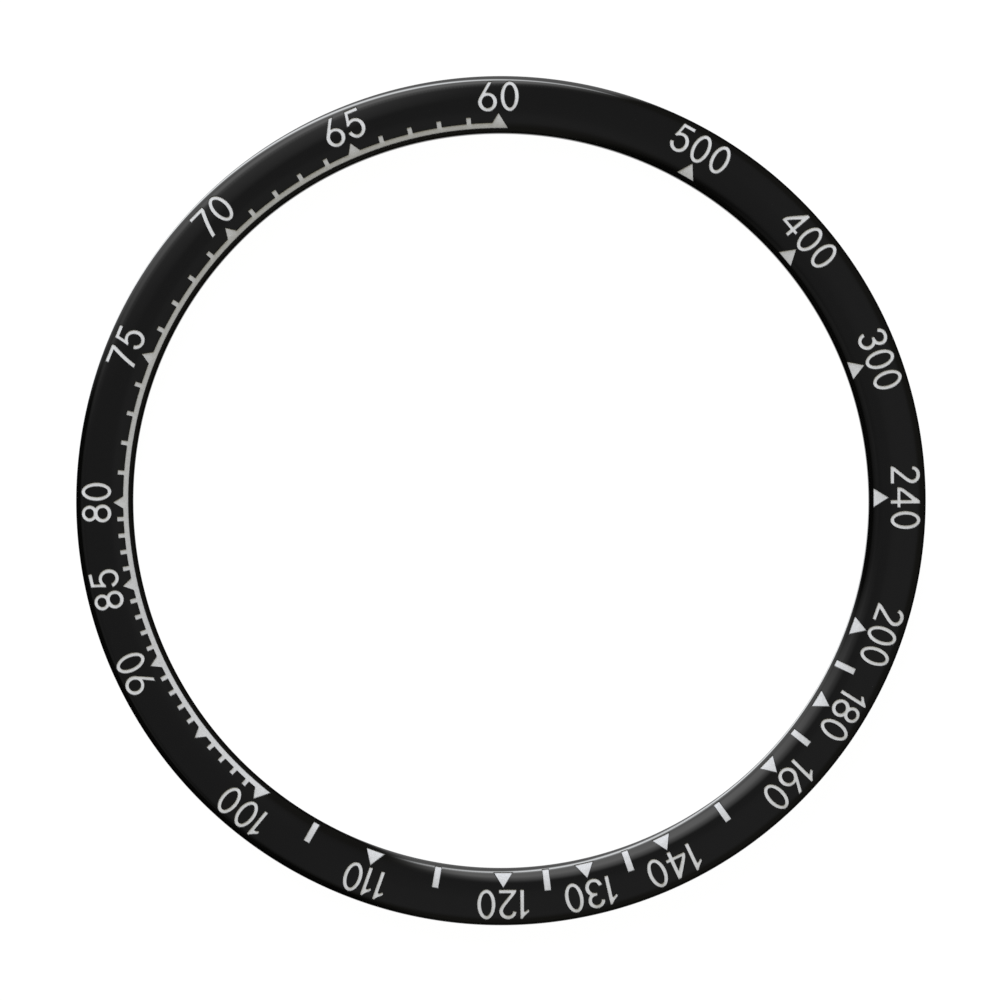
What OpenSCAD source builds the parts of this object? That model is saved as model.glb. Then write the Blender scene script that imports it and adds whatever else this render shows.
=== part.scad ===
// Speed-scale insert ring for a watch bezel: a polished black ceramic ring with
// a gently crowned face, rounded rims, and a scale engraved into the face.
// Every engraved pocket holds its own inlay of matt silver-grey filling, and a
// die-cut adhesive ring under the ceramic bonds it into the bezel's seat.
//
// Frame: the ring's axis is Z, and z = 0 is the underside of the adhesive.
// +Z leaves the watch, and +Y points to the 60 mark. Dial angles are in
// degrees, clockwise from +Y as the wearer reads them. All sizes are in mm.

/* [Ring] */
// Outside diameter of the ceramic ring
ring_od = 38.62; // [38.5:0.02:39]
// Inside diameter of the ceramic ring
ring_id = 33.42; // [33.2:0.02:33.48]
// Thickness of the ceramic at the top of the crowned face
ring_t = 1.2; // [1.1:0.05:1.5]
// Distance from the inner wall to the level land on top of the crowned face
land_in = 0.79; // [0.74:0.01:0.82]
// Distance from the outer wall to the level land
land_out = 1.26; // [1.2:0.01:1.3]
// Width of the inner rim, from the wall to the shoulder
rim_in = 0.44; // [0.4:0.01:0.46]
// Width of the outer rim, from the wall to the shoulder
rim_out = 0.36; // [0.33:0.01:0.37]
// Drop from the land to the inner shoulder
drop_in = 0.070; // [0.06:0.002:0.08]
// Drop from the land to the outer shoulder
drop_out = 0.055; // [0.05:0.001:0.07]
// Slope of the inner rim, in degrees from level
slope_in = 20; // [18:1:24]
// Slope of the outer rim, in degrees from level
slope_out = 13; // [12:1:16]
// Radius of the outer rim's rounding
round_out = 0.27; // [0.2:0.01:0.3]
// Radius of the inner rim's rounding
round_in = 0.27; // [0.2:0.01:0.27]
// Size of the chamfers on the two lower edges
foot_chamfer = 0.06; // [0.04:0.01:0.1]

/* [Figures] */
// Height of the flat-topped figures
digit_h = 1.33; // [1.28:0.01:1.34]
// Distance from the outer wall in to the foot of the figures
digit_in = 1.60; // [1.55:0.01:1.6]
// Space between neighbouring figures, in hundredths of their height
digit_gap = 11.8; // [10:0.2:13]

/* [Marks] */
// Distance from the inner wall out to the rail and the pointer bases
rail_in = 0.22; // [0.2:0.01:0.23]
// Radial width of the rail
rail_w = 0.24; // [0.2:0.01:0.26]
// Half the width of a pointer's base
pointer_hw = 0.43; // [0.36:0.01:0.44]
// Length of a pointer, from base to tip
pointer_l = 0.70; // [0.6:0.01:0.72]
// Width of a small tick on the rail
tick_w = 0.22; // [0.18:0.01:0.26]
// How far a small tick stands out beyond the rail
tick_l = 0.29; // [0.2:0.01:0.34]
// Width of a plain bar
bar_w = 0.30; // [0.24:0.01:0.34]
// Radial length of a plain bar
bar_l = 0.97; // [0.8:0.01:0.98]
// Distance from the inner wall out to the foot of a plain bar
bar_in = 0.19; // [0.18:0.01:0.2]

/* [Inlays] */
// Depth of the pockets below the top of the crowned face
mark_depth = 0.30; // [0.28:0.01:0.4]
// How far the filling lies below the polished face
fill_recess = 0.04; // [0.02:0.005:0.045]

/* [Adhesive] */
// Thickness of the adhesive ring
tape_t = 0.12; // [0.08:0.01:0.2]
// Distance from each wall of the ceramic in to the adhesive's edge
tape_inset = 0.25; // [0.15:0.05:0.5]

/* [Hidden] */
$fn = 180;
ro = ring_od / 2;
ri = ring_id / 2;
top = tape_t + ring_t;
floor_z = top - mark_depth;
face_in = ri + rim_in;
face_out = ro - rim_out;
base_r = ro - digit_in;
unit = digit_h / 100;
rail_r0 = ri + rail_in;
rail_r1 = rail_r0 + rail_w;
tip_r = rail_r0 + pointer_l;
tick_r = rail_r1 + tick_l;
bar_r0 = ri + bar_in;
ceramic_c = [0.09, 0.09, 0.1];
fill_c = [0.78, 0.78, 0.79];
tape_c = [0.86, 0.84, 0.78];

// Each number: its figures, and its dial angle
NUMBERS = [
    [[6, 0], 0], [[6, 5], -22.5], [[7, 0], -45], [[7, 5], -67.5], [[8, 0], -90],
    [[8, 5], -102.5], [[9, 0], -115], [[1, 0, 0], -140], [[1, 1, 0], -160],
    [[1, 2, 0], 180], [[1, 3, 0], 167.5], [[1, 4, 0], 155], [[1, 6, 0], 135],
    [[1, 8, 0], 122.5], [[2, 0, 0], 110], [[2, 4, 0], 90], [[3, 0, 0], 70],
    [[4, 0, 0], 50], [[5, 0, 0], 30]
];
// Dial angles of the pointers that stand alone, from 110 round to 500
POINTERS = [-160, 180, 167.5, 155, 135, 122.5, 110, 90, 70, 50, 30];
// Dial angles of the pointers that grow out of the rail, from 100 round to 60
RAIL_POINTERS = [-140, -127.5, -115, -102.5, -90, -67.5, -45, -22.5, 0];
// Dial angles of the plain bars, from 105 round to 190
BARS = [-150, -170, 173.5, 161, 145, 128.8, 116.3];

// ---------- curves ----------
function arc(cx, cy, rx, ry, a0, a1, n) =
    [for (i = [0:n]) let (a = a0 + (a1 - a0) * i / n) [cx + rx * cos(a), cy + ry * sin(a)]];
function ring_of(cx, cy, rx, ry, n) =
    [for (i = [0:n - 1]) let (a = 360 * i / n) [cx + rx * cos(a), cy + ry * sin(a)]];
function bend(p, q, r, n) =
    [for (i = [0:n]) let (t = i / n) (1 - t) * (1 - t) * p + 2 * t * (1 - t) * q + t * t * r];
function tail(v) = [for (i = [1:len(v) - 1]) v[i]];

// ---------- figures ----------
// Drawn on a grid 100 units high; x runs from 0 to the figure's width.
WIDTH = [62.5, 32, 61, 61, 70, 64, 65.5, 62, 62.5, 65.5];

FIG_0 = [ring_of(31.25, 50, 31.25, 51.3, 32), ring_of(31.25, 50, 18.1, 38.6, 28)];

FIG_1 = [[[0.5, 73.5], [3, 78], [13.5, 86.5], [19.5, 93], [24.5, 100], [32, 100],
    [32, 0], [19, 0], [19, 74.5], [16, 75], [10.5, 71.5], [4, 66]]];

FIG_2 = [concat(
    [[0.3, 75.7]], arc(30.5, 73, 30, 28.4, 172, 0, 12),
    tail(bend([60.5, 73], [60.5, 62.5], [46, 44.5], 5)),
    [[19.5, 12.3], [61, 12.3], [61, 0], [1, 0]],
    bend([1, 4], [2.5, 11.5], [10.5, 21], 4),
    bend([36, 52], [47, 66], [47, 73.5], 4),
    tail(arc(30, 73.5, 17, 14.5, 0, 176, 10)), [[12.2, 72.6]])];

FIG_3 = [concat(
    [[2, 77.4]], arc(31, 77.5, 29, 24.7, 172, 0, 12),
    tail(bend([60, 77.5], [60, 62], [50, 53], 5)),
    arc(31, 30, 30, 30.8, 49, -173, 18), [[12.5, 28.3]],
    arc(31, 30, 16.3, 18.3, -170, 95, 14), [[23.5, 49], [24.7, 58.6]],
    bend([33, 59.5], [46.5, 62], [47, 75.5], 5),
    tail(arc(31, 75.5, 16, 14.6, 0, 172, 10)), [[13.7, 74.3]])];

FIG_4 = [
    [[44, 0], [57, 0], [57, 22.6], [70, 22.6], [70, 33.6], [57, 33.6], [57, 100],
        [45.2, 100], [36, 86.2], [22.3, 68.2], [7.9, 47.6], [3, 39.5], [0.3, 31.5],
        [0, 22.6], [44, 22.6]],
    [[44, 33.6], [44, 72.3], [36, 62.7], [17.5, 40], [14.3, 33.6]]];

FIG_5 = [concat(
    [[14.4, 100], [59.6, 100], [59.6, 88], [23.3, 88], [20.4, 72]],
    arc(31.5, 34.3, 32.5, 34.9, 114, -168, 22), [[11.6, 30.3]],
    arc(31.5, 34.5, 18.8, 22.8, -170, 90, 16),
    tail(bend([31.5, 57.3], [21, 57.3], [12, 48.3], 4)),
    [[3.4, 49], [8.9, 68.5], [12, 85.6]])];

FIG_6 = [concat([[34.4, 100]], arc(32.75, 30.3, 32.75, 32.75, 151, 462, 28), [[48.3, 100]]),
    ring_of(32.75, 30.8, 19, 21, 24)];

FIG_7 = [concat(
    [[0, 88], [0, 100], [62, 100]], bend([62, 88], [36.5, 37], [28, 0], 6),
    bend([14, 0], [22, 37], [47, 88], 6))];

FIG_8 = [concat(arc(31.25, 74, 28, 26.7, -47.5, 227.5, 20), arc(31.25, 29.7, 31.25, 30.7, 127, 413, 22)),
    ring_of(31.25, 74.5, 15.6, 14.7, 20), ring_of(31.25, 29.2, 18.5, 17, 24)];

// A nine is a six turned half a turn.
FIG_9 = [for (loop = FIG_6) [for (p = loop) [65.5 - p[0], 100 - p[1]]]];

FIGURES = [FIG_0, FIG_1, FIG_2, FIG_3, FIG_4, FIG_5, FIG_6, FIG_7, FIG_8, FIG_9];

// Where figure i of a number starts, and the whole number's width, in units
function start(ds, i) = i == 0 ? 0 : start(ds, i - 1) + WIDTH[ds[i - 1]] + digit_gap;
function span(ds) = start(ds, len(ds) - 1) + WIDTH[ds[len(ds) - 1]];

// All loops of a number, centred on its pointer and standing on the figures' foot
function number_loops(ds) =
    [for (i = [0:len(ds) - 1]) let (x0 = start(ds, i) - span(ds) / 2)
        for (loop = FIGURES[ds[i]]) [for (p = loop) [(x0 + p[0]) * unit, base_r + p[1] * unit]]];

// The index at which each loop of a list starts
function offsets(loops, i) = i == 0 ? 0 : offsets(loops, i - 1) + len(loops[i - 1]);

module outline(loops) {
    polygon(
        points = [for (loop = loops) for (p = loop) p],
        paths = [for (i = [0:len(loops) - 1]) let (o = offsets(loops, i)) [for (j = [0:len(loops[i]) - 1]) o + j]]);
}

// ---------- flat outlines of the marks ----------
module dial(angle) { rotate([0, 0, -angle]) children(); }

module number_shape(i) { dial(NUMBERS[i][1]) outline(number_loops(NUMBERS[i][0])); }

module pointer_shape(i) {
    dial(POINTERS[i]) polygon([[-pointer_hw, rail_r0], [0, tip_r], [pointer_hw, rail_r0]]);
}

module bar_shape(i) {
    dial(BARS[i]) polygon([[-bar_w / 2, bar_r0], [-bar_w / 2, bar_r0 + bar_l], [bar_w / 2, bar_r0 + bar_l], [bar_w / 2, bar_r0]]);
}

// A point x across and y out, at dial angle a
function at(x, y, a) = [x * cos(a) + y * sin(a), y * cos(a) - x * sin(a)];
// Half the width of a pointer where it leaves the rail
flank = pointer_hw * (tip_r - rail_r1) / pointer_l;
flank_deg = atan(flank / rail_r1);
tick_deg = atan(tick_w / 2 / rail_r1);
tick_y = sqrt(rail_r1 * rail_r1 - tick_w * tick_w / 4);
base_y = sqrt(rail_r0 * rail_r0 - pointer_hw * pointer_hw);
last = len(RAIL_POINTERS) - 1;

function rail_arc(a0, a1) = [for (i = [1:3]) at(0, rail_r1, a0 + (a1 - a0) * i / 4)];
function tick(a) = [at(-tick_w / 2, tick_y, a), at(-tick_w / 2, tick_r, a), at(tick_w / 2, tick_r, a), at(tick_w / 2, tick_y, a)];
function pointer_on_rail(k) = let (a = RAIL_POINTERS[k]) [
    k == 0 ? at(-pointer_hw, base_y, a) : at(-flank, rail_r1, a),
    at(0, tip_r, a),
    k == last ? at(pointer_hw, base_y, a) : at(flank, rail_r1, a)];

// The rail with its pointers and ticks, walked clockwise along the outside
// and back along the inside
RAIL = concat(
    [for (k = [0:last]) let (a = RAIL_POINTERS[k], s = k < last ? (RAIL_POINTERS[k + 1] - a) / 5 : 0)
        for (p = k == last ? pointer_on_rail(k) : concat(
            pointer_on_rail(k), rail_arc(a + flank_deg, a + s - tick_deg),
            tick(a + s), rail_arc(a + s + tick_deg, a + 2 * s - tick_deg),
            tick(a + 2 * s), rail_arc(a + 2 * s + tick_deg, a + 3 * s - tick_deg),
            tick(a + 3 * s), rail_arc(a + 3 * s + tick_deg, a + 4 * s - tick_deg),
            tick(a + 4 * s), rail_arc(a + 4 * s + tick_deg, a + 5 * s - flank_deg))) p],
    [for (i = [0:139]) at(0, rail_r0, -0.5 - i)]);

module rail_shape() { polygon(RAIL); }

// ---------- solids ----------
// The crown is a level land with a shallow cone on each side of it, down to
// the shoulders. From there the rims slope on, and round over into the walls.
shoulder_in = top - drop_in;
shoulder_out = top - drop_out;

// Upper edge of the ring's section, from the inner wall to the outer wall
in_x = ri + round_in * (1 - sin(slope_in));
in_z = shoulder_in - (face_in - in_x) * tan(slope_in);
out_x = ro - round_out * (1 - sin(slope_out));
out_z = shoulder_out - (out_x - face_out) * tan(slope_out);
SKIN = concat(
    arc(ri + round_in, in_z - round_in * cos(slope_in), round_in, round_in, 180, 90 + slope_in, 4),
    [[face_in, shoulder_in], [ri + land_in, top], [ro - land_out, top], [face_out, shoulder_out]],
    arc(ro - round_out, out_z - round_out * cos(slope_out), round_out, round_out, 90 - slope_out, 0, 4));

// Everything under the ring's skin, lowered by drop
module under_skin(drop) {
    rotate_extrude() polygon(concat(
        [[ri, tape_t + foot_chamfer]],
        [for (p = SKIN) [p[0], p[1] - drop]],
        [[ro, tape_t + foot_chamfer], [ro - foot_chamfer, tape_t], [ri + foot_chamfer, tape_t]]));
}

// A pocket from its floor to above the face
module pocket() { translate([0, 0, floor_z]) linear_extrude(mark_depth + 0.2) children(); }

// Filling from the pocket's floor to just under the face
module inlay() {
    color(fill_c) intersection() {
        translate([0, 0, floor_z]) linear_extrude(mark_depth) children();
        under_skin(fill_recess);
    }
}

module insert_ring() {
    color(ceramic_c) difference() {
        under_skin(0);
        pocket() rail_shape();
        for (i = [0:len(NUMBERS) - 1]) pocket() number_shape(i);
        for (i = [0:len(POINTERS) - 1]) pocket() pointer_shape(i);
        for (i = [0:len(BARS) - 1]) pocket() bar_shape(i);
    }
}

module scale_rail() { inlay() rail_shape(); }
module numeral(i) { inlay() number_shape(i); }
module pointer(i) { inlay() pointer_shape(i); }
module bar(i) { inlay() bar_shape(i); }

module adhesive_ring() {
    color(tape_c) difference() {
        cylinder(h = tape_t, r = ro - tape_inset);
        translate([0, 0, -0.1]) cylinder(h = tape_t + 0.2, r = ri + tape_inset);
    }
}

insert_ring();
scale_rail();
numeral(0);  // numeral_60
numeral(1);  // numeral_65
numeral(2);  // numeral_70
numeral(3);  // numeral_75
numeral(4);  // numeral_80
numeral(5);  // numeral_85
numeral(6);  // numeral_90
numeral(7);  // numeral_100
numeral(8);  // numeral_110
numeral(9);  // numeral_120
numeral(10);  // numeral_130
numeral(11);  // numeral_140
numeral(12);  // numeral_160
numeral(13);  // numeral_180
numeral(14);  // numeral_200
numeral(15);  // numeral_240
numeral(16);  // numeral_300
numeral(17);  // numeral_400
numeral(18);  // numeral_500
pointer(0);  // pointer_110
pointer(1);  // pointer_120
pointer(2);  // pointer_130
pointer(3);  // pointer_140
pointer(4);  // pointer_160
pointer(5);  // pointer_180
pointer(6);  // pointer_200
pointer(7);  // pointer_240
pointer(8);  // pointer_300
pointer(9);  // pointer_400
pointer(10);  // pointer_500
bar(0);  // bar_105
bar(1);  // bar_115
bar(2);  // bar_125
bar(3);  // bar_135
bar(4);  // bar_150
bar(5);  // bar_170
bar(6);  // bar_190
adhesive_ring();
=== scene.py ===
import math

import bpy
import numpy as np
from mathutils import Matrix, Vector
from mathutils.geometry import delaunay_2d_cdt


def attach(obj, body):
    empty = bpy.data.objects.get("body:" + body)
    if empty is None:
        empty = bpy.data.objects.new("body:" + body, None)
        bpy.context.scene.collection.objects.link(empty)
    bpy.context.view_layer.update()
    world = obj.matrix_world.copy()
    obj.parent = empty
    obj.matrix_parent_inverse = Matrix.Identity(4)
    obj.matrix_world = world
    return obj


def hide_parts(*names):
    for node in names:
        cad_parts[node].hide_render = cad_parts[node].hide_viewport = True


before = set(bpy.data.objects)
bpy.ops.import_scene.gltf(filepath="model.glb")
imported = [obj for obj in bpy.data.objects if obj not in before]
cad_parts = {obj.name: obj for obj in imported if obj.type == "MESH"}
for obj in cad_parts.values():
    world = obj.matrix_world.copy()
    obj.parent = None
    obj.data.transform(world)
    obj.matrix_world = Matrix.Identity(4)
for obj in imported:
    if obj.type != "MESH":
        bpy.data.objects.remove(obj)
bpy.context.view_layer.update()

MM = 0.001
RI, RO = 16.71, 19.31           # inner and outer wall
SEAT, TOP = 0.12, 1.32          # underside and top of the ceramic
FLOOR_Z = 1.02                  # floor of the pockets
FOOT = 0.06                     # rounding of the two lower edges
LIP = 0.02                      # rounding of the pockets' edges
RECESS = 0.04                   # filling below the polished face
INSET = 0.010                   # filling's edge from the pocket's wall
SEG = 720                       # segments round the ring

# ------------------------------------------------------------ ring's section
# Slope of the skin in degrees at each radius: inward side, then outward side.
SLOPE = [
    (16.931, -21.1), (17.022, -17.8), (17.067, -17.0), (17.113, -15.4), (17.158, -13.2),
    (17.204, -11.6), (17.295, -9.9), (17.386, -8.3), (17.477, -6.6), (17.522, -5.3),
    (17.613, -3.5), (17.704, -2.5), (17.880, -0.4), (18.050, 0.0), (18.130, 1.6), (18.213, 2.7),
    (18.395, 3.4), (18.577, 3.7), (18.759, 3.9), (18.850, 4.2), (18.895, 4.8), (18.941, 6.2),
    (18.986, 9.2), (19.032, 12.6), (19.077, 13.6),
]
R_IN, R_OUT = SLOPE[0][0], SLOPE[-1][0]


def slope_at(r):
    """Slope of the skin at radius r, in radians: 90 degrees at both walls."""
    r = np.asarray(r, float)
    k = np.array([p[0] for p in SLOPE])
    a = np.interp(r, k, [p[1] for p in SLOPE])
    s_in, s_out = math.sin(math.radians(-SLOPE[0][1])), math.sin(math.radians(SLOPE[-1][1]))
    x = np.clip((R_IN - r) / (R_IN - RI), 0, 1)
    a = np.where(r < R_IN, -np.degrees(np.arcsin(np.clip(s_in + (1 - s_in) * x, 0, 1))), a)
    x = np.clip((r - R_OUT) / (RO - R_OUT), 0, 1)
    a = np.where(r > R_OUT, np.degrees(np.arcsin(np.clip(s_out + (1 - s_out) * x, 0, 1))), a)
    return np.radians(a)


def _heights():
    """The skin's height over a fine row of radii, from its slope, highest at TOP."""
    r = np.linspace(R_IN, R_OUT, 4001)
    g = -np.tan(slope_at(r))
    z = np.concatenate([[0], np.cumsum((g[1:] + g[:-1]) / 2 * np.diff(r))])
    z += TOP - z.max()
    # round corners of true circular section, from the last slope to the wall
    s_in, s_out = math.sin(math.radians(-SLOPE[0][1])), math.sin(math.radians(SLOPE[-1][1]))
    q_in, q_out = (R_IN - RI) / (1 - s_in), (RO - R_OUT) / (1 - s_out)
    t = np.linspace(1, s_in, 400)[:-1]
    r_a = R_IN - (t - s_in) * q_in
    z_a = z[0] - (math.sqrt(1 - s_in ** 2) - np.sqrt(np.maximum(1 - t ** 2, 0))) * q_in
    t = np.linspace(s_out, 1, 400)[1:]
    r_b = R_OUT + (t - s_out) * q_out
    z_b = z[-1] - (math.sqrt(1 - s_out ** 2) - np.sqrt(np.maximum(1 - t ** 2, 0))) * q_out
    return np.concatenate([r_a, r, r_b]), np.concatenate([z_a, z, z_b])


HR, HZ = _heights()


def skin_z(r):
    return np.interp(r, HR, HZ)


# ------------------------------------------------------------ outlines of marks
def arc(cx, cy, rx, ry, a0, a1, n):
    return [(cx + rx * math.cos(math.radians(a0 + (a1 - a0) * i / (4 * n))),
             cy + ry * math.sin(math.radians(a0 + (a1 - a0) * i / (4 * n)))) for i in range(4 * n + 1)]


def oval(cx, cy, rx, ry):
    return arc(cx, cy, rx, ry, 0, 360, 24)[:-1]


def bend(p, q, r, n=4):
    n *= 3
    return [tuple((1 - t) ** 2 * p[k] + 2 * t * (1 - t) * q[k] + t * t * r[k] for k in (0, 1))
            for t in (i / n for i in range(n + 1))]


# Figures 0 to 9 on a grid 100 units high
WIDTH = [62.5, 32, 61, 61, 70, 64, 65.5, 62, 62.5, 65.5]
FIG = {
    0: [oval(31.25, 50, 31.25, 51.3), oval(31.25, 50, 18.1, 38.6)],
    1: [[(0.5, 73.5), (3, 78), (13.5, 86.5), (19.5, 93), (24.5, 100), (32, 100), (32, 0), (19, 0),
         (19, 74.5), (16, 75), (10.5, 71.5), (4, 66)]],
    2: [[(0.3, 75.7)] + arc(30.5, 73, 30, 28.4, 172, 0, 12)
        + bend((60.5, 73), (60.5, 62.5), (46, 44.5))[1:]
        + [(19.5, 12.3), (61, 12.3), (61, 0), (1, 0)]
        + bend((1, 4), (2.5, 11.5), (10.5, 21)) + bend((36, 52), (47, 66), (47, 73.5))
        + arc(30, 73.5, 17, 14.5, 0, 176, 10)[1:] + [(12.2, 72.6)]],
    3: [[(2, 77.4)] + arc(31, 77.5, 29, 24.7, 172, 0, 12)
        + bend((60, 77.5), (60, 62), (50, 53))[1:]
        + arc(31, 30, 30, 30.8, 49, -173, 18) + [(12.5, 28.3)]
        + arc(31, 30, 16.3, 18.3, -170, 95, 14) + [(23.5, 49), (24.7, 58.6)]
        + bend((33, 59.5), (46.5, 62), (47, 75.5))
        + arc(31, 75.5, 16, 14.6, 0, 172, 10)[1:] + [(13.7, 74.3)]],
    4: [[(44, 0), (57, 0), (57, 22.6), (70, 22.6), (70, 33.6), (57, 33.6), (57, 100), (45.2, 100),
         (36, 86.2), (22.3, 68.2), (7.9, 47.6), (3, 39.5), (0.3, 31.5), (0, 22.6), (44, 22.6)],
        [(44, 33.6), (44, 72.3), (36, 62.7), (17.5, 40), (14.3, 33.6)]],
    5: [[(14.4, 100), (59.6, 100), (59.6, 88), (23.3, 88), (20.4, 72)]
        + arc(31.5, 34.3, 32.5, 34.9, 114, -168, 22) + [(11.6, 30.3)]
        + arc(31.5, 34.5, 18.8, 22.8, -170, 90, 16)
        + bend((31.5, 57.3), (21, 57.3), (12, 48.3))[1:] + [(3.4, 49), (8.9, 68.5), (12, 85.6)]],
    6: [[(34.4, 100)] + arc(32.75, 30.3, 32.75, 32.75, 151, 462, 28) + [(48.3, 100)],
        oval(32.75, 30.8, 19, 21)],
    7: [[(0, 88), (0, 100), (62, 100)] + bend((62, 88), (36.5, 37), (28, 0), 6)
        + bend((14, 0), (22, 37), (47, 88), 6)],
    8: [arc(31.25, 74, 28, 26.7, -47.5, 227.5, 20) + arc(31.25, 29.7, 31.25, 30.7, 127, 413, 22),
        oval(31.25, 74.5, 15.6, 14.7), oval(31.25, 29.2, 18.5, 17)],
}
FIG[9] = [[(65.5 - x, 100 - y) for x, y in loop] for loop in FIG[6]]

GAP, UNIT, BASE_R = 11.8, 0.0133, RO - 1.60
RAIL0, RAIL1 = RI + 0.22, RI + 0.46
HW, TIP = 0.43, RAIL0 + 0.70
TICK_W, TICK_R = 0.22, RAIL1 + 0.29
BAR_W, BAR0, BAR1 = 0.30, RI + 0.19, RI + 1.16
NUMBERS = {60: 0, 65: -22.5, 70: -45, 75: -67.5, 80: -90, 85: -102.5, 90: -115, 100: -140,
           110: -160, 120: 180, 130: 167.5, 140: 155, 160: 135, 180: 122.5, 200: 110,
           240: 90, 300: 70, 400: 50, 500: 30}
POINTERS = {110: -160, 120: 180, 130: 167.5, 140: 155, 160: 135, 180: 122.5, 200: 110,
            240: 90, 300: 70, 400: 50, 500: 30}
RAIL_POINTERS = [-140, -127.5, -115, -102.5, -90, -67.5, -45, -22.5, 0]
BARS = {105: -150, 115: -170, 125: 173.5, 135: 161, 150: 145, 170: 128.8, 190: 116.3}


def at(x, y, a):
    c, s = math.cos(math.radians(a)), math.sin(math.radians(a))
    return (x * c + y * s, y * c - x * s)


def rail_outline():
    flank = HW * (TIP - RAIL1) / (TIP - RAIL0)
    f_deg, t_deg = math.degrees(math.atan(flank / RAIL1)), math.degrees(math.atan(TICK_W / 2 / RAIL1))
    t_y, b_y = math.sqrt(RAIL1 ** 2 - TICK_W ** 2 / 4), math.sqrt(RAIL0 ** 2 - HW ** 2)
    out = []

    def run(a0, a1):
        n = max(2, int(abs(a1 - a0) / 0.2))
        out.extend(at(0, RAIL1, a0 + (a1 - a0) * i / n) for i in range(1, n))

    last = len(RAIL_POINTERS) - 1
    for k, a in enumerate(RAIL_POINTERS):
        out.extend([at(-HW, b_y, a), at(-HW, RAIL0, a)] if k == 0 else [at(-flank, RAIL1, a)])
        out.append(at(0, TIP, a))
        out.extend([at(HW, RAIL0, a), at(HW, b_y, a)] if k == last else [at(flank, RAIL1, a)])
        if k < last:
            s = (RAIL_POINTERS[k + 1] - a) / 5
            run(a + f_deg, a + s - t_deg)
            for i in (1, 2, 3, 4):
                b = a + i * s
                out.extend([at(-TICK_W / 2, t_y, b), at(-TICK_W / 2, TICK_R, b), at(TICK_W / 2, TICK_R, b), at(TICK_W / 2, t_y, b)])
                run(b + t_deg, b + s - (t_deg if i < 4 else f_deg))
    a0, a1 = -math.degrees(math.asin(HW / RAIL0)) - 140, math.degrees(math.asin(HW / RAIL0))
    n = 720
    out.extend(at(0, RAIL0, a1 + (a0 - a1) * i / n) for i in range(1, n))
    return out


def marks():
    """Every mark: its CAD node, the name of its piece, and its closed loops in mm."""
    made = [("scale_rail", "rail_filling", [[rail_outline()]])]
    for value, angle in NUMBERS.items():
        digits = [int(c) for c in str(value)]
        span = sum(WIDTH[d] for d in digits) + GAP * (len(digits) - 1)
        x0, figures = -span / 2, []
        for d in digits:
            figures.append([[at((x0 + x) * UNIT, BASE_R + y * UNIT, angle) for x, y in loop] for loop in FIG[d]])
            x0 += WIDTH[d] + GAP
        made.append((f"numeral_{value}", f"number_{value}_filling", figures))
    for value, angle in POINTERS.items():
        made.append((f"pointer_{value}", f"pointer_{value}_filling",
                     [[[at(-HW, RAIL0, angle), at(0, TIP, angle), at(HW, RAIL0, angle)]]]))
    for value, angle in BARS.items():
        h = BAR_W / 2
        made.append((f"bar_{value}", f"bar_{value}_filling",
                     [[[at(-h, BAR0, angle), at(-h, BAR1, angle), at(h, BAR1, angle), at(h, BAR0, angle)]]]))
    return made


# ------------------------------------------------------------ distance to the marks
GR0, GR1, NR, NT = 16.79, 19.21, 243, 11400
DR, DT = (GR1 - GR0) / (NR - 1), 2 * math.pi / NT
REACH = 0.085


def split(loop, longest):
    """The loop's edges, cut so that none is longer than longest."""
    p = np.array(loop, float)
    q = np.roll(p, -1, 0)
    out_p, out_q = [], []
    for a, b in zip(p, q):
        n = max(1, int(math.ceil(np.hypot(*(b - a)) / longest)))
        t = np.arange(n + 1)[:, None] / n
        w = a + (b - a) * t
        out_p.append(w[:-1])
        out_q.append(w[1:])
    return np.concatenate(out_p), np.concatenate(out_q)


def in_rail(r, t):
    """Whether polar points lie in the rail, its pointers or its ticks."""
    inside = np.zeros(r.shape, bool)
    deg = np.degrees(t)
    ring = r >= RAIL0
    near = np.abs((deg + 70 + 180) % 360 - 180)
    inside |= ring & (r <= RAIL1) & (near <= 70)
    for a in RAIL_POINTERS:
        d = np.radians((deg - a + 180) % 360 - 180)
        x, y = r * np.sin(d), r * np.cos(d)
        inside |= ring & (np.abs(d) < 0.2) & (np.abs(x) <= HW * (TIP - y) / (TIP - RAIL0)) & (np.abs(x) <= HW)
    for a, b in zip(RAIL_POINTERS, RAIL_POINTERS[1:]):
        for i in (1, 2, 3, 4):
            d = np.radians((deg - (a + (b - a) * i / 5) + 180) % 360 - 180)
            x, y = r * np.sin(d), r * np.cos(d)
            inside |= ring & (np.abs(d) < 0.2) & (np.abs(x) <= TICK_W / 2) & (y <= TICK_R)
    return inside


def even_odd(x, y, loops):
    inside = np.zeros(x.shape, bool)
    for loop in loops:
        p = np.array(loop, float)
        q = np.roll(p, -1, 0)
        for (ax, ay), (bx, by) in zip(p, q):
            if ay == by:
                continue
            hit = ((ay > y) != (by > y)) & (x < (bx - ax) * (y - ay) / (by - ay) + ax)
            inside ^= hit
    return inside


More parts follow.
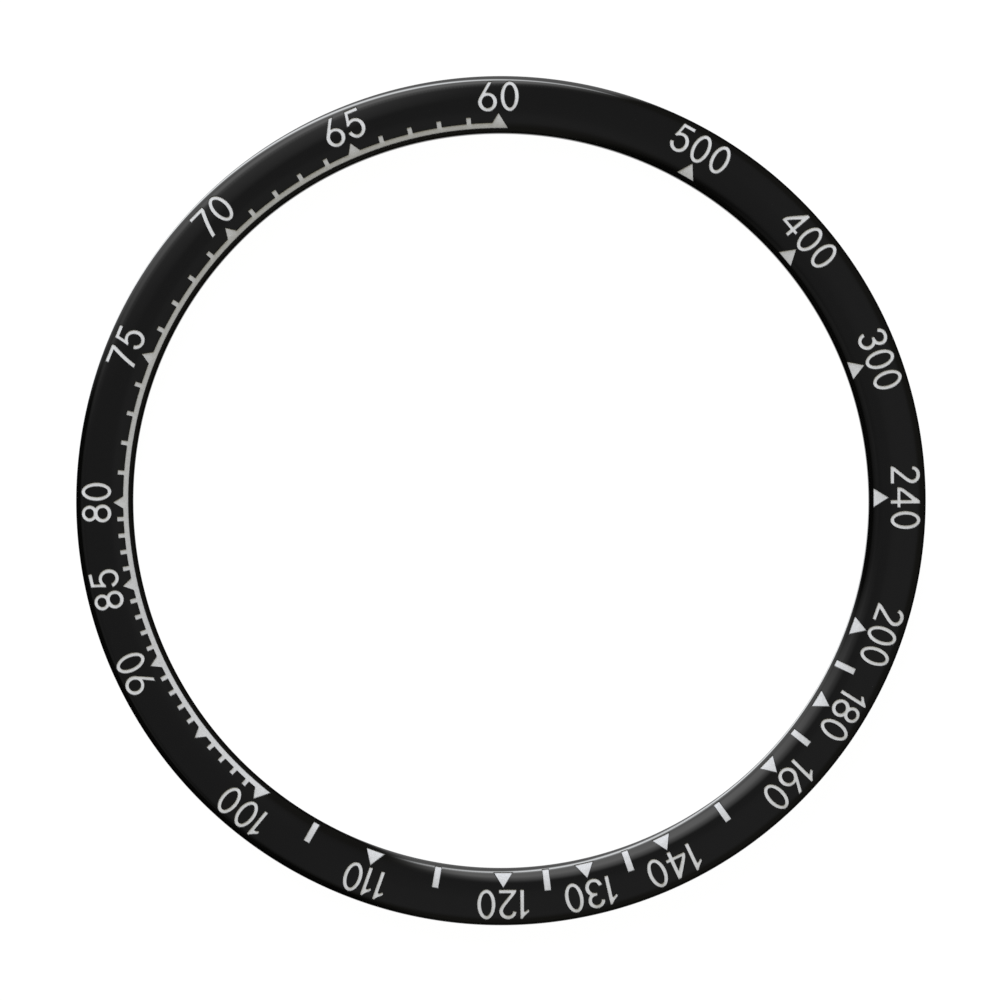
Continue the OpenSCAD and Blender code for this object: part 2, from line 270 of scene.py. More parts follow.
def distance_field(made):
    """Signed distance to the marks' outlines in mm on a polar grid, negative inside, and the mark it belongs to."""
    dist = np.full((NR, NT), REACH)
    sign = np.zeros((NR, NT), bool)
    label = np.full((NR, NT), -1, np.int16)
    radii = GR0 + DR * np.arange(NR)
    for m, (_, _, figures) in enumerate(made):
        for figure in figures:
            pa, pb = zip(*(split(loop, 0.08) for loop in figure))
            pa, pb = np.concatenate(pa), np.concatenate(pb)
            mid = (pa + pb) / 2
            rc, tc = np.hypot(mid[:, 0], mid[:, 1]), np.arctan2(mid[:, 0], mid[:, 1])
            ci, cj = np.round((rc - GR0) / DR).astype(int), np.round(tc / DT).astype(int)
            k = int((REACH + 0.04) / min(DR, GR0 * DT)) + 1
            di, dj = np.meshgrid(np.arange(-k, k + 1), np.arange(-k, k + 1), indexing="ij")
            di, dj = di.ravel(), dj.ravel()
            for s in range(0, len(ci), 400):
                i, j = ci[s:s + 400, None] + di, cj[s:s + 400, None] + dj
                a, b = pa[s:s + 400, None], pb[s:s + 400, None]
                ok = (i >= 0) & (i < NR)
                r, t = GR0 + DR * i, DT * j
                x, y = r * np.sin(t), r * np.cos(t)
                ab = b - a
                u = np.clip(((x - a[..., 0]) * ab[..., 0] + (y - a[..., 1]) * ab[..., 1]) / (ab ** 2).sum(-1), 0, 1)
                d = np.hypot(x - a[..., 0] - u * ab[..., 0], y - a[..., 1] - u * ab[..., 1])
                flat = (np.clip(i, 0, NR - 1) * NT + j % NT)[ok]
                d = d[ok]
                order = np.argsort(-d, kind="stable")
                flat, d = flat[order], d[order]
                better = d < dist.ravel()[flat]
                flat, d = flat[better], d[better]
                dist.ravel()[flat] = d
                label.ravel()[flat] = m
            if m > 0:
                j0, j1 = cj.min() - 4, cj.max() + 4
                j = np.arange(j0, j1 + 1)
                r, t = np.meshgrid(radii, DT * j, indexing="ij")
                sign[:, j % NT] |= even_odd(r * np.sin(t), r * np.cos(t), figure)
    half = 2000
    for j0 in range(0, NT, half):
        j = np.arange(j0, min(NT, j0 + half))
        r, t = np.meshgrid(radii, DT * j, indexing="ij")
        sign[:, j] |= in_rail(r, t)
    return np.where(sign, -dist, dist), label


# Edges of a grid cell: bottom 0, right 1, top 2, left 3; inside stays on the left.
CELL = {1: [(0, 3)], 2: [(1, 0)], 3: [(1, 3)], 4: [(2, 1)], 6: [(2, 0)], 7: [(2, 3)], 8: [(3, 2)],
        9: [(0, 2)], 11: [(1, 2)], 12: [(3, 1)], 13: [(0, 1)], 14: [(3, 0)]}


def contours(field, level):
    """Closed loops (x, y) where the field equals level."""
    v = field - level
    v = np.where(v == 0, 1e-12, v)
    neg = v < 0
    right = np.roll(neg, -1, 1)
    case = (neg[:-1] * 1 + right[:-1] * 2 + right[1:] * 4 + neg[1:] * 8)
    ii, jj = np.nonzero((case > 0) & (case < 15))
    cc = case[ii, jj]
    mean = (v[ii, jj] + v[ii, (jj + 1) % NT] + v[ii + 1, (jj + 1) % NT] + v[ii + 1, jj]) / 4

    def edge_id(i, j, e):
        """One number for a grid edge: even for those along the angle, odd for those along the radius."""
        if e == 0:
            return 2 * (i * NT + j)
        if e == 2:
            return 2 * ((i + 1) * NT + j)
        if e == 3:
            return 2 * (i * NT + j) + 1
        return 2 * (i * NT + (j + 1) % NT) + 1

    follow = {}
    for i, j, c, mv in zip(ii.tolist(), jj.tolist(), cc.tolist(), mean.tolist()):
        if c == 5:
            pairs = [(0, 1), (2, 3)] if mv < 0 else [(0, 3), (2, 1)]
        elif c == 10:
            pairs = [(3, 0), (1, 2)] if mv < 0 else [(1, 0), (3, 2)]
        else:
            pairs = CELL[c]
        for a, b in pairs:
            follow[edge_id(i, j, a)] = edge_id(i, j, b)
    loops = []
    while follow:
        first = next(iter(follow))
        chain, e = [first], follow.pop(first)
        while e != first:
            chain.append(e)
            e = follow.pop(e)
        ids = np.array(chain)
        cell, along_r = ids // 2, ids % 2
        i, j = cell // NT, cell % NT
        i2, j2 = i + along_r, (j + 1 - along_r) % NT
        va, vb = v[i, j], v[i2, j2]
        f = va / (va - vb)
        r = GR0 + DR * (i + f * along_r)
        t = DT * (j + f * (1 - along_r))
        loops.append(np.stack([r * np.sin(t), r * np.cos(t)], 1))
    return loops


def simplify(p, tol):
    """Fewer points on a closed loop, none further than tol from it."""
    n = len(p)
    a = 0
    b = int(np.argmax(np.hypot(*(p - p[0]).T)))
    keep = np.zeros(n + 1, bool)
    keep[[a, b, n]] = True
    q = np.concatenate([p, p[:1]])
    stack = [(a, b), (b, n)]
    while stack:
        s, e = stack.pop()
        if e - s < 2:
            continue
        d = q[e] - q[s]
        w = q[s + 1:e] - q[s]
        length = math.hypot(*d)
        off = np.abs(d[0] * w[:, 1] - d[1] * w[:, 0]) / length if length > 1e-12 else np.hypot(w[:, 0], w[:, 1])
        k = int(np.argmax(off))
        if off[k] > tol:
            keep[s + 1 + k] = True
            stack += [(s, s + 1 + k), (s + 1 + k, e)]
    return q[:-1][keep[:-1]]


def loops_at(field, level, tol=0.0004, longest=0.09):
    out = []
    for p in contours(field, level):
        if len(p) < 8:
            continue
        a, b = split(simplify(p, tol), longest)
        out.append(a)
    return out


def side_normals(p):
    """Unit vectors at a loop's points, away from the inside, which is on the left."""
    d0, d1 = p - np.roll(p, 1, 0), np.roll(p, -1, 0) - p
    d0 /= np.hypot(*d0.T)[:, None]
    d1 /= np.hypot(*d1.T)[:, None]
    d = d0 + d1
    d /= np.maximum(np.hypot(*d.T), 1e-9)[:, None]
    return np.stack([d[:, 1], -d[:, 0]], 1)


def field_at(field, x, y):
    r, t = np.hypot(x, y), np.arctan2(x, y)
    fi = np.clip((r - GR0) / DR, 0, NR - 1.001)
    fj = (t / DT) % NT
    i, j = fi.astype(int), fj.astype(int) % NT
    a, b = fi - i, fj - np.floor(fj)
    j2 = (j + 1) % NT
    return ((1 - a) * ((1 - b) * field[i, j] + b * field[i, j2]) + a * ((1 - b) * field[i + 1, j] + b * field[i + 1, j2]))


def label_at(label, x, y):
    r, t = np.hypot(x, y), np.arctan2(x, y)
    i = np.clip(np.round((r - GR0) / DR).astype(int), 0, NR - 1)
    j = np.round(t / DT).astype(int) % NT
    return label[i, j]


def triangulate(points, edges, wanted):
    """Constrained Delaunay triangles over points (n, 2), as indices into points.

    The edges part the plane into regions. A region is kept if wanted(x, y) holds
    at the middle of its largest triangle."""
    _, out_edges, faces, ov, oe, _ = delaunay_2d_cdt([Vector(p) for p in points.tolist()], edges, [], 0, 1e-7, True)
    first = np.array([o[0] for o in ov])
    tris = first[np.array(faces, int)]
    fixed = first[np.array([e for e, o in zip(out_edges, oe) if o], int)]
    size = len(points)
    wall = np.unique(fixed.min(1) * size + fixed.max(1))
    a = tris[:, [0, 1, 2]].ravel()
    b = tris[:, [1, 2, 0]].ravel()
    side = np.minimum(a, b) * size + np.maximum(a, b)
    owner = np.repeat(np.arange(len(tris)), 3)
    free = ~np.isin(side, wall)
    side, owner = side[free], owner[free]
    order = np.argsort(side, kind="stable")
    side, owner = side[order], owner[order]
    twin = np.nonzero(side[1:] == side[:-1])[0]
    root = list(range(len(tris)))

    def find(k):
        while root[k] != k:
            root[k] = root[root[k]]
            k = root[k]
        return k

    for i, j in zip(owner[twin].tolist(), owner[twin + 1].tolist()):
        i, j = find(i), find(j)
        if i != j:
            root[i] = j
    group = np.array([find(k) for k in range(len(tris))])
    p = points[tris]
    u, v = p[:, 1] - p[:, 0], p[:, 2] - p[:, 0]
    area = np.abs(u[:, 0] * v[:, 1] - u[:, 1] * v[:, 0])
    order = np.lexsort((-area, group))
    names, at_first = np.unique(group[order], return_index=True)
    mid = p[order[at_first]].mean(1)
    good = names[wanted(mid[:, 0], mid[:, 1])]
    return tris[np.isin(group, good)]


# ------------------------------------------------------------ meshes
def new_object(name, verts, faces, loop_normals):
    """A smooth-shaded mesh object from mm vertices, with its own normals."""
    me = bpy.data.meshes.new(name)
    me.from_pydata((np.asarray(verts) * MM).tolist(), [], faces)
    me.polygons.foreach_set("use_smooth", [True] * len(me.polygons))
    me.update()
    me.set_sharp_from_angle(angle=math.radians(60))
    me.normals_split_custom_set(np.asarray(loop_normals, float).tolist())
    ob = bpy.data.objects.new(name, me)
    bpy.context.scene.collection.objects.link(ob)
    return ob


def circle(r, n=SEG):
    t = 2 * np.pi * np.arange(n) / n
    return np.stack([r * np.sin(t), r * np.cos(t)], 1)


def build_ring(field):
    """The ceramic ring: skin with rounded pocket edges, pockets, walls and underside, one closed solid."""
    c_lo, c_hi = 16.80, 19.20      # between these the skin is one triangulated sheet
    pts, nrm, zz, edges = [], [], [], []
    n0 = 0

    def add(p, z, n, closed):
        nonlocal n0
        k = len(p)
        pts.append(p), zz.append(z), nrm.append(n)
        if closed:
            edges.extend((n0 + i, n0 + (i + 1) % k) for i in range(k))
        n0 += k
        return np.arange(n0 - k, n0)

    def skin_normal(p):
        r = np.hypot(*p.T)
        s = slope_at(r)
        return np.stack([p[:, 0] / r * np.sin(s), p[:, 1] / r * np.sin(s), np.cos(s)], 1)

    def lip_normal(p, away, tilt):
        """The skin's normal turned towards the pocket by tilt."""
        n = skin_normal(p)
        side = np.concatenate([-away, np.zeros((len(p), 1))], 1)
        side -= n * (side * n).sum(1)[:, None]
        side /= np.linalg.norm(side, axis=1)[:, None]
        return n * math.cos(tilt) + side * math.sin(tilt)

    inner = add(circle(c_lo), np.full(SEG, skin_z(c_lo)), skin_normal(circle(c_lo)), True)
    outer = add(circle(c_hi), np.full(SEG, skin_z(c_hi)), skin_normal(circle(c_hi)), True)
    # the free skin
    radii = np.concatenate([
        np.arange(16.83, 17.10, 0.03), np.arange(17.10, 17.56, 0.04), np.arange(17.60, 18.90, 0.10),
        np.arange(18.92, 19.19, 0.03)])
    for k, r in enumerate(radii):
        p = circle(r)
        if k % 2:
            t = 2 * np.pi * (np.arange(SEG) + 0.5) / SEG
            p = np.stack([r * np.sin(t), r * np.cos(t)], 1)
        p = p[field_at(field, p[:, 0], p[:, 1]) > LIP + 0.02]
        add(p, skin_z(np.hypot(*p.T)), skin_normal(p), False)
    # the rounded edge of every pocket, at three distances from it
    for tilt in (0.0, 40.0):
        t = math.radians(tilt)
        d = LIP * (1 - math.sin(t))
        for p in loops_at(field, d):
            away = side_normals(p)
            z = skin_z(np.hypot(*p.T)) - LIP * (1 - math.cos(t))
            add(p, z, lip_normal(p, away, t), True)
    rims = []
    for p in loops_at(field, 0.0):
        away = side_normals(p)
        z = skin_z(np.hypot(*p.T)) - LIP
        flat = np.concatenate([-away, np.zeros((len(p), 1))], 1)
        rims.append((add(p, z, flat, True), p, flat))
    pts = np.concatenate(pts)
    zz, nrm = np.concatenate(zz), np.concatenate(nrm)
    tris = triangulate(pts, edges, lambda x, y: (np.hypot(x, y) > c_lo) & (np.hypot(x, y) < c_hi) & (field_at(field, x, y) > 0))
    verts = [np.column_stack([pts, zz])]
    faces = [tuple(t) for t in tris.tolist()]
    loops = [nrm[tris].reshape(-1, 3)]
    count = len(pts)

    def band(ring_a, ring_b, na, nb):
        """Quads between two rings of vertices of the same length."""
        k = len(ring_a)
        nxt = np.roll(np.arange(k), -1)
        quads = np.stack([ring_a, ring_a[nxt], ring_b[nxt], ring_b], 1)
        faces.extend(tuple(q) for q in quads.tolist())
        loops.append(np.stack([na, na[nxt], nb[nxt], nb], 1).reshape(-1, 3))

    # pockets: walls down from the rim, then floors
    floor_pts, floor_idx, floor_edges, m0 = [], [], [], 0
    for idx, p, flat in rims:
        k = len(p)
        low = np.arange(count, count + k)
        verts.append(np.column_stack([p, np.full(k, FLOOR_Z)]))
        count += k
        band(low, idx, flat, flat)
        floor_pts.append(p)
        floor_idx.append(low)
        floor_edges.extend((m0 + i, m0 + (i + 1) % k) for i in range(k))
        m0 += k
    floor_pts, floor_idx = np.concatenate(floor_pts), np.concatenate(floor_idx)
    t = triangulate(floor_pts, floor_edges, lambda x, y: field_at(field, x, y) < 0)
    faces.extend(tuple(f) for f in floor_idx[t].tolist())
    loops.append(np.tile([0.0, 0.0, 1.0], (3 * len(t), 1)))

    # round corners, walls, rounded foot and underside
    def ring_path(start, path):
        """Sweeps (radius, z, nr, nz) points round the axis from an existing ring; yields each new ring with the one
        before it and their normals.
        """
        nonlocal count
        c0 = circle(1.0)
        prev, pn = start, None
        for r, z, nr, nz in path:
            nn = np.column_stack([c0 * nr, np.full(SEG, nz)])
            if prev is start:
                pn = nrm[start]
            idx = np.arange(count, count + SEG)
            verts.append(np.column_stack([c0 * r, np.full(SEG, z)]))
            count += SEG
            yield prev, idx, pn, nn
            prev, pn = idx, nn

    def corner(r_from, wall, n):
        s0 = float(slope_at(r_from))
        out = []
        for k in range(1, n + 1):
            s = s0 + (math.copysign(math.pi / 2, s0) - s0) * k / n
            se = math.sin(abs(s))
            base, edge = (R_IN, SLOPE[0][1]) if wall == RI else (R_OUT, SLOPE[-1][1])
            sf = math.sin(math.radians(abs(edge)))
            r = base + (wall - base) * (se - sf) / (1 - sf)
            out.append((r, float(skin_z(r)), math.sin(s), math.cos(s)))
        return out

    def foot(wall, sgn):
        out = [(wall, SEAT + FOOT, sgn, 0.0)]
        for k in range(1, 5):
            a = math.pi / 2 * k / 4
            out.append((wall - sgn * FOOT * (1 - math.cos(a)), SEAT + FOOT * (1 - math.sin(a)), sgn * math.cos(a), -math.sin(a)))
        return out

    ends = []
    for start, wall, sgn, c_r in ((inner, RI, -1.0, c_lo), (outer, RO, 1.0, c_hi)):
        path = corner(c_r, wall, 10) + [(wall, 0.5, sgn, 0.0)] + foot(wall, sgn)
        end = None
        for prev, idx, pn, nn in ring_path(start, path):
            if sgn > 0:
                band(prev, idx, pn, nn)
            else:
                band(idx, prev, nn, pn)
            end = (idx, nn)
        ends.append(end)
    (low_in, _), (low_out, _) = ends
    down = np.tile([0.0, 0.0, -1.0], (SEG, 1))
    band(low_out, low_in, down, down)
    return new_object("ceramic_ring", np.concatenate(verts), faces, np.concatenate(loops))


def build_filling(name, loops, field, label, m):
    """The filling of one mark: its top follows the skin a little below it."""
    pts, edges, zz, nrm, n0 = [], [], [], [], 0
    rings = []

    def skin_normal(p):
        r = np.hypot(*p.T)
        s = slope_at(r)
        return np.stack([p[:, 0] / r * np.sin(s), p[:, 1] / r * np.sin(s), np.cos(s)], 1)

    for p in loops:
        k = len(p)
        pts.append(p)
        edges.extend((n0 + i, n0 + (i + 1) % k) for i in range(k))
        rings.append(np.arange(n0, n0 + k))
        n0 += k
    edge_pts = np.concatenate(pts)
    lo, hi = edge_pts.min(0), edge_pts.max(0)
    if m == 0:
        inner = []
        for r in np.arange(RAIL0 + 0.04, TIP - 0.05, 0.05):
            inner.append(circle(r, 1800))
        inner = np.concatenate(inner)
    else:
        step = 0.05
        x, y = np.meshgrid(np.arange(lo[0], hi[0], step), np.arange(lo[1], hi[1], step))
        inner = np.stack([x.ravel(), y.ravel()], 1)
    inner = inner[(field_at(field, inner[:, 0], inner[:, 1]) < -0.025) & (label_at(label, inner[:, 0], inner[:, 1]) == m)]
    pts = np.concatenate([edge_pts, inner])
    tris = triangulate(pts, edges, lambda x, y: field_at(field, x, y) < -INSET)
    r = np.hypot(*pts.T)
    top = np.column_stack([pts, skin_z(r) - RECESS])
    n_top = skin_normal(pts)
    n = len(pts)
    k = len(edge_pts)
    low = np.column_stack([edge_pts, np.full(k, FLOOR_Z + 0.001)])
    verts = np.concatenate([top, low])
    faces = [tuple(t) for t in tris.tolist()]
    loops_n = [n_top[tris].reshape(-1, 3)]
    under = triangulate(edge_pts, edges, lambda x, y: field_at(field, x, y) < -INSET)[:, ::-1] + n
    faces.extend(tuple(t) for t in under.tolist())
    loops_n.append(np.tile([0.0, 0.0, -1.0], (3 * len(under), 1)))
    for ring, p in zip(rings, loops):
        away = side_normals(p)
        flat = np.concatenate([away, np.zeros((len(p), 1))], 1)
        nxt = np.roll(np.arange(len(ring)), -1)
        quads = np.stack([ring + n, ring[nxt] + n, ring[nxt], ring], 1)
        faces.extend(tuple(q) for q in quads.tolist())
        loops_n.append(np.stack([flat, flat[nxt], flat[nxt], flat], 1).reshape(-1, 3))
    return new_object(name, verts, faces, np.concatenate(loops_n))


def build_film():
    """The adhesive ring: a thin film with softly rounded, die-cut edges."""
    r0, r1, e, seg = RI + 0.25, RO - 0.25, 0.018, SEG
    path = []
    for r, sgn in ((r1, 1.0), (r0, -1.0)):
        zs = [(0.0, -90), (0.0, -45), (0.0, 0), (SEAT, 0), (SEAT, 45), (SEAT, 90)]
        if sgn < 0:
            zs = zs[::-1]
        for z, a in zs:
            c, s = math.cos(math.radians(a)), math.sin(math.radians(a))
            zc = z + e if z == 0.0 else z - e
            path.append((r - sgn * e * (1 - c), zc + e * s, sgn * c, s))
    c0 = circle(1.0, seg)
    verts, faces, loops = [], [], []
    for r, z, nr, nz in path:
        verts.append(np.column_stack([c0 * r, np.full(seg, z)]))
    k = len(path)
    for a in range(k):
        b = (a + 1) % k
        i = np.arange(seg)
        j = np.roll(i, -1)
        na = np.column_stack([c0 * path[a][2], np.full(seg, path[a][3])])
        nb = np.column_stack([c0 * path[b][2], np.full(seg, path[b][3])])
        faces.extend(tuple(q) for q in np.stack([a * seg + i, b * seg + i, b * seg + j, a * seg + j], 1).tolist())
        loops.append(np.stack([na, nb, nb[j], na[j]], 1).reshape(-1, 3))
    return new_object("adhesive_film", np.concatenate(verts), faces, np.concatenate(loops))


# ------------------------------------------------------------ materials
class Nodes:
    """Short calls for building a node tree."""

    def __init__(self, tree):
        self.t = tree
        for n in list(tree.nodes):
            tree.nodes.remove(n)

    def add(self, kind, **props):
        n = self.t.nodes.new(kind)
        for k, v in props.items():
            setattr(n, k, v)
        return n

    def put(self, socket, value):
        if hasattr(value, "is_output") or isinstance(value, bpy.types.NodeSocket):
            self.t.links.new(value, socket)
        else:
            socket.default_value = value

    def math(self, op, a, b=None, c=None, clamp=False):
        n = self.add("ShaderNodeMath", operation=op, use_clamp=clamp)
        for s, v in zip(n.inputs, (a, b, c)):
            if v is not None:
                self.put(s, v)
        return n.outputs[0]

    def dot(self, v, u):
        n = self.add("ShaderNodeVectorMath", operation="DOT_PRODUCT")
        self.put(n.inputs[0], v)
        n.inputs[1].default_value = u
        return n.outputs["Value"]

    def step(self, x, a, b, lo=0.0, hi=1.0):
        """A smooth step from lo at a to hi at b."""
        n = self.add("ShaderNodeMapRange", interpolation_type="SMOOTHSTEP")
        self.put(n.inputs["Value"], x)
        n.inputs["From Min"].default_value, n.inputs["From Max"].default_value = a, b
        n.inputs["To Min"].default_value, n.inputs["To Max"].default_value = lo, hi
        return n.outputs["Result"]

    def noise(self, vector, scale, detail=2.0, rough=0.5, distortion=0.0):
        n = self.add("ShaderNodeTexNoise")
        self.put(n.inputs["Vector"], vector)
        n.inputs["Scale"].default_value = scale
        n.inputs["Detail"].default_value = detail
        n.inputs["Roughness"].default_value = rough
        n.inputs["Distortion"].default_value = distortion
        return n.outputs["Fac"]

    def ramp(self, fac, stops):
        n = self.add("ShaderNodeValToRGB")
        self.put(n.inputs["Fac"], fac)
        cr = n.color_ramp
        while len(cr.elements) > 1:
            cr.elements.remove(cr.elements[-1])
        cr.elements[0].position, cr.elements[0].color = stops[0][0], (*stops[0][1], 1)
        for pos, col in stops[1:]:
            cr.elements.new(pos).color = (*col, 1)
        return n.outputs["Color"]


def new_material(name):
    mat = bpy.data.materials.new(name)
    mat.use_nodes = True
    return mat, Nodes(mat.node_tree)


def principled(n, **values):
    p = n.add("ShaderNodeBsdfPrincipled")
    out = n.add("ShaderNodeOutputMaterial")
    n.t.links.new(p.outputs["BSDF"], out.inputs["Surface"])
    for k, v in values.items():
        n.put(p.inputs[k.replace("_", " ")], v)
    return p


def object_mm(n):
    """Object coordinates in millimetres."""
    tc = n.add("ShaderNodeTexCoord")
    s = n.add("ShaderNodeVectorMath", operation="SCALE")
    n.t.links.new(tc.outputs["Object"], s.inputs[0])
    s.inputs["Scale"].default_value = 1000.0
    return s.outputs["Vector"]


def ceramic_material():
    mat, n = new_material("black_ceramic")
    p = object_mm(n)
    # a trace of cloud in the black, and lapping marks too fine to see singly
    cloud = n.noise(p, 2.2, 4.0, 0.6)
    grain = n.noise(p, 40.0, 3.0, 0.6)
    colour = n.ramp(cloud, [(0.3, (0.0004, 0.0004, 0.00042)), (0.7, (0.0008, 0.0008, 0.00084))])
    rough = n.step(grain, 0.3, 0.7, 0.018, 0.04)
    bump = n.add("ShaderNodeBump")
    bump.inputs["Strength"].default_value = 0.03
    bump.inputs["Distance"].default_value = 0.000002
    n.put(bump.inputs["Height"], grain)
    s = principled(n, Base_Color=colour, Roughness=rough, IOR=2.2)
    n.put(s.inputs["Normal"], bump.outputs["Normal"])
    return mat


def filling_material(name, gain):
    mat, n = new_material(name)
    p = object_mm(n)
    # deposited metal: fine grains, some bright and some dark, and slow clouds
    fine = n.noise(p, 26.0, 3.0, 0.65)
    coarse = n.noise(p, 7.0, 3.0, 0.5)
    both = n.math("ADD", n.math("MULTIPLY", fine, 0.75), n.math("MULTIPLY", coarse, 0.25))
    greys = [(0.32, 0.41), (0.5, 0.50), (0.68, 0.585)]
    colour = n.ramp(both, [(at, (g * gain, g * gain, g * gain * 1.006)) for at, g in greys])
    rough = n.step(fine, 0.3, 0.7, 0.48, 0.62)
    bump = n.add("ShaderNodeBump")
    bump.inputs["Strength"].default_value = 0.25
    bump.inputs["Distance"].default_value = 0.000006
    n.put(bump.inputs["Height"], fine)
    s = principled(n, Base_Color=colour, Roughness=rough, Metallic=0.0, IOR=1.5)
    n.put(s.inputs["Normal"], bump.outputs["Normal"])
    return mat


def film_material():
    mat, n = new_material("adhesive_film")
    p = object_mm(n)
    fibre = n.noise(p, 6.0, 5.0, 0.7, 1.5)
    colour = n.ramp(fibre, [(0.35, (0.52, 0.49, 0.42)), (0.6, (0.66, 0.63, 0.56)), (0.8, (0.72, 0.70, 0.64))])
    rough = n.step(fibre, 0.3, 0.8, 0.3, 0.5)
    bump = n.add("ShaderNodeBump")
    bump.inputs["Strength"].default_value = 0.2
    bump.inputs["Distance"].default_value = 0.00001
    n.put(bump.inputs["Height"], fibre)
    s = principled(n, Base_Color=colour, Roughness=rough, IOR=1.46)
    s.inputs["Subsurface Weight"].default_value = 0.0
    n.put(s.inputs["Normal"], bump.outputs["Normal"])
    return mat


# ------------------------------------------------------------ the object
made = marks()
field, label = distance_field(made)

ceramic, film = ceramic_material(), film_material()
# painted light: the numbers' thin strokes lie more in the shade of their pockets' walls than the broad marks, so
# they get a copy of the same filling painted paler to make up for that shade
filling, filling_painted_paler = filling_material("silver_filling", 1.13), filling_material("silver_filling_numbers_painted_paler", 1.31)

ring = build_ring(field)
ring.data.materials.append(ceramic)
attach(ring, "root")
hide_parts("insert_ring")

by_mark = {}
for p in loops_at(field, -INSET):
    away = side_normals(p)
    probe = p - away * 0.004
    owner = np.bincount(label_at(label, probe[:, 0], probe[:, 1]) + 1).argmax() - 1
    by_mark.setdefault(int(owner), []).append(p)
for m, (node, piece, _) in enumerate(made):
    ob = build_filling(piece, by_mark[m], field, label, m)
    # the numbers take the copy of the filling painted paler against their shade, the other marks the plain one
    ob.data.materials.append(filling_painted_paler if node.startswith("numeral") else filling)
    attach(ob, "root")
    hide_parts(node)

tape = build_film()
tape.data.materials.append(film)
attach(tape, "root")
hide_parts("adhesive_ring")


# ------------------------------------------------------------ studio
def only(ob, *kinds):
    """The object is seen by these kinds of ray alone."""
    for k in ("camera", "diffuse", "glossy", "transmission", "volume_scatter", "shadow"):
        setattr(ob, "visible_" + k, k in kinds)


def unit(az, el):
    a, e = math.radians(az), math.radians(el)
    return (math.sin(a) * math.cos(e), math.cos(a) * math.cos(e), math.sin(e))


def ball(name, radius, n):
    bpy.ops.mesh.primitive_uv_sphere_add(segments=2 * n, ring_count=n, radius=radius)
    ob = bpy.context.object
    ob.name = name
    return ob


# What the polished ceramic reflects: a light tent with a pale roof, one large
# soft box at the upper left with a bright tube across it, and darkness beyond.
tent = ball("light_tent", 0.337, 48)
only(tent, "glossy")
mat, n = new_material("light_tent")
geo = n.add("ShaderNodeNewGeometry")
nv = n.add("ShaderNodeVectorMath", operation="NORMALIZE")
n.t.links.new(geo.outputs["Position"], nv.inputs[0])
e = nv.outputs["Vector"]
up = n.dot(e, (0, 0, 1))
tilt = n.math("DEGREES", n.math("ARCCOSINE", up))
g = n.math("MULTIPLY", n.dot(e, unit(120, 0)), 1 / 0.0393)
g = n.math("DIVIDE", g, n.math("SQRT", n.math("ADD", 1.0, n.math("MULTIPLY", g, g))))
side = n.step(n.dot(e, unit(94, 0)), -0.3, -0.05, 0.25, 1.0)
far = n.math("MULTIPLY", n.math("MULTIPLY", n.step(tilt, 70, 110, 0.0456, 0.0185), side), n.step(tilt, 11.8, 36.7))
window = n.math("MULTIPLY", n.step(n.dot(e, unit(25.0, -6.3)), -0.204, 0.204), n.step(n.dot(e, unit(287, -4)), -0.063, 0.063))
# the roof reaches further down on the left, beside the soft box
left = n.math("MULTIPLY", n.step(n.dot(e, unit(94, 0)), -0.42, -0.28, 1.0, 0.0), n.math("SUBTRACT", 1.0, window))
reach = n.step(tilt, 11.8, 36.7, 1.0, 0.0)
reach = n.math("ADD", reach, n.math("MULTIPLY", left, n.math("SUBTRACT", n.step(tilt, 24, 46, 1.0, 0.0), reach)))
roof = n.math("MULTIPLY", n.math("MULTIPLY_ADD", g, 0.0097, 0.078), reach)
ang = n.math("DEGREES", n.math("ARCTAN2", n.dot(e, unit(323.6, 0)), up))
ang = n.math("ADD", ang, n.math("MULTIPLY", n.math("LESS_THAN", ang, -90.0), 360.0))
glow = n.math("ADD", n.step(ang, 10.2, 16.0, 0.0, 0.242), n.step(ang, 12.8, 24.0, 0.0, 0.445))
glow = n.math("ADD", glow, n.step(ang, 34, 46, 0.0, -0.19))
box = n.math("MULTIPLY", window, glow)
st = n.math("DIVIDE", n.dot(e, unit(242.07, 25.34)), 0.142)
tube = n.math("EXPONENT", n.math("MULTIPLY", n.math("MULTIPLY", st, st), -1.0))
tube = n.math("MULTIPLY", n.math("MULTIPLY", tube, 4.25), n.math("MULTIPLY", n.step(tilt, 35, 50), n.step(window, 0.0, 0.6)))
glows = []
for power, tint in ((n.math("ADD", roof, box), (1, 1, 1, 1)), (far, (1.02, 0.98, 0.86, 1)), (tube, (0.955, 0.98, 1.0, 1))):
    em = n.add("ShaderNodeEmission")
    em.inputs["Color"].default_value = tint
    n.t.links.new(power, em.inputs["Strength"])
    glows.append(em.outputs[0])
for _ in (1, 2):
    add = n.add("ShaderNodeAddShader")
    n.t.links.new(glows.pop(), add.inputs[0])
    n.t.links.new(glows.pop(), add.inputs[1])
    glows.append(add.outputs[0])
out = n.add("ShaderNodeOutputMaterial")
n.t.links.new(glows[0], out.inputs["Surface"])
mat.cycles.emission_sampling = "NONE"
tent.data.materials.append(mat)

# White surroundings
backdrop = ball("white_backdrop", 1.4, 24)
only(backdrop, "camera")
mat, n = new_material("white_backdrop")
em = n.add("ShaderNodeEmission")
em.inputs["Color"].default_value = (1, 1, 1, 1)
em.inputs["Strength"].default_value = 1.05
out = n.add("ShaderNodeOutputMaterial")
n.t.links.new(em.outputs[0], out.inputs["Surface"])
mat.cycles.emission_sampling = "NONE"
backdrop.data.materials.append(mat)

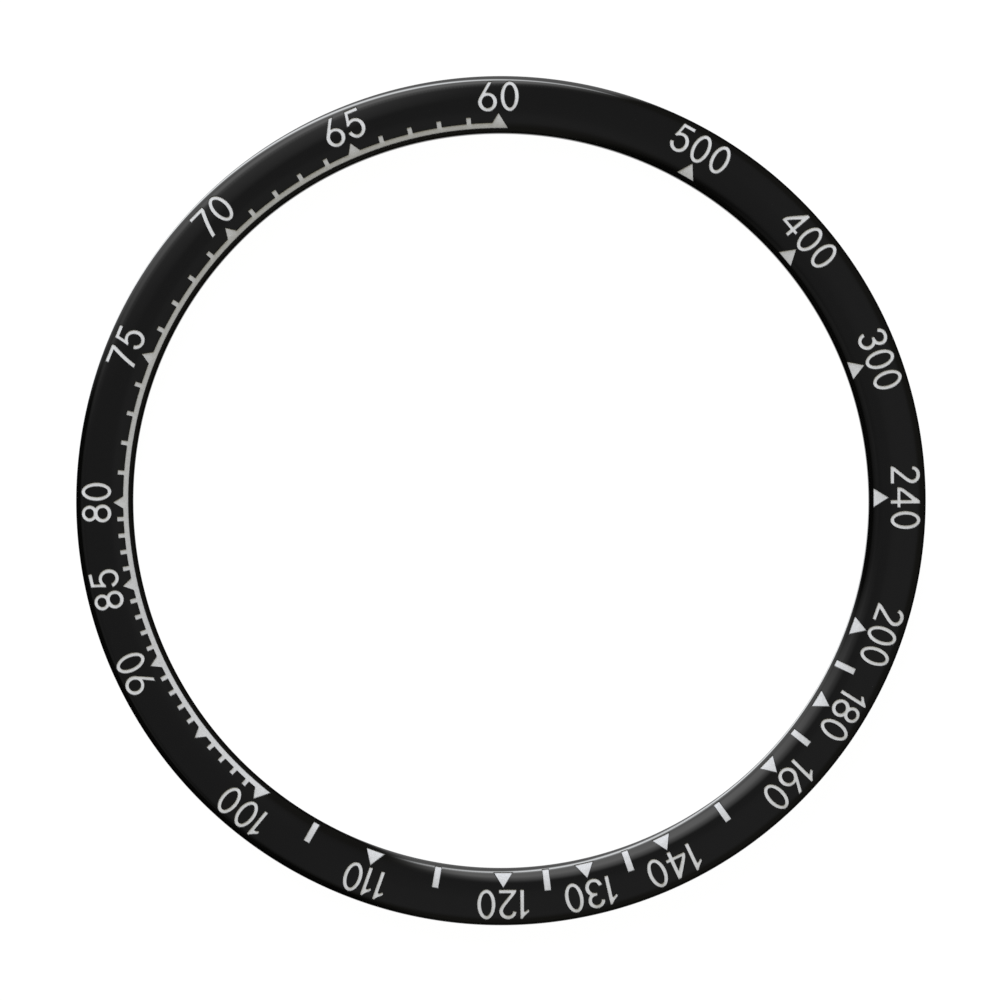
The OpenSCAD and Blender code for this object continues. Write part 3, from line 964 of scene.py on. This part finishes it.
bpy.ops.mesh.primitive_circle_add(vertices=128, radius=1.3, fill_type="NGON", location=(0, 0, -0.00002))
floor = bpy.context.object
floor.name = "floor"
only(floor, "camera")
mat, n = new_material("white_floor")
em = n.add("ShaderNodeEmission")
em.inputs["Color"].default_value = (1, 1, 1, 1)
em.inputs["Strength"].default_value = 0.985
df = n.add("ShaderNodeBsdfDiffuse")
df.inputs["Color"].default_value = (0.05, 0.05, 0.05, 1)
add = n.add("ShaderNodeAddShader")
n.t.links.new(em.outputs[0], add.inputs[0])
n.t.links.new(df.outputs[0], add.inputs[1])
out = n.add("ShaderNodeOutputMaterial")
n.t.links.new(add.outputs[0], out.inputs["Surface"])
mat.cycles.emission_sampling = "NONE"
floor.data.materials.append(mat)

# Light for matt surfaces: an even sky and one broad soft key from the top of the picture
world = bpy.data.worlds.new("soft_sky")
bpy.context.scene.world = world
world.use_nodes = True
wn = world.node_tree.nodes["Background"]
wn.inputs["Color"].default_value = (1.045, 1.0, 0.79, 1)
wn.inputs["Strength"].default_value = 0.36
world.cycles_visibility.glossy = False
world.cycles_visibility.camera = False

sun = bpy.data.lights.new("key", "SUN")
sun.energy = 4.5
sun.color = (0.955, 1.0, 1.12)
sun.angle = math.radians(50)
key = bpy.data.objects.new("key", sun)
bpy.context.scene.collection.objects.link(key)
key.rotation_mode = "QUATERNION"
key.rotation_quaternion = Vector(unit(338, 26)).to_track_quat("Z", "Y")
key.visible_glossy = False

# ------------------------------------------------------------ camera
PX = 0.045465                    # mm of the ring's plane in one pixel
DIST, ELEV, ROLL = 1000.0, 87.7, 0.36
cam = bpy.data.cameras.new("camera")
cam.sensor_width = 36.0
cam.lens = 36.0 * DIST / (1001 * PX)
cam.clip_start, cam.clip_end = 0.01, 10.0
camera = bpy.data.objects.new("camera", cam)
bpy.context.scene.collection.objects.link(camera)
back = Vector((0, -math.cos(math.radians(ELEV)), math.sin(math.radians(ELEV))))
top = Vector((math.sin(math.radians(ROLL)), math.cos(math.radians(ROLL)), 0))
right = top.cross(back).normalized()
top = back.cross(right).normalized()
target = Vector((0, 0, 0.62)) - right * (0.36 * PX) - top * (0.05 * PX)
camera.matrix_world = Matrix((
    (right.x, top.x, back.x, (target.x + back.x * DIST) * MM),
    (right.y, top.y, back.y, (target.y + back.y * DIST) * MM),
    (right.z, top.z, back.z, (target.z + back.z * DIST) * MM),
    (0, 0, 0, 1)))
bpy.context.scene.camera = camera
bpy.context.scene.view_settings.view_transform = "Standard"
bpy.context.scene.view_settings.look = "None"
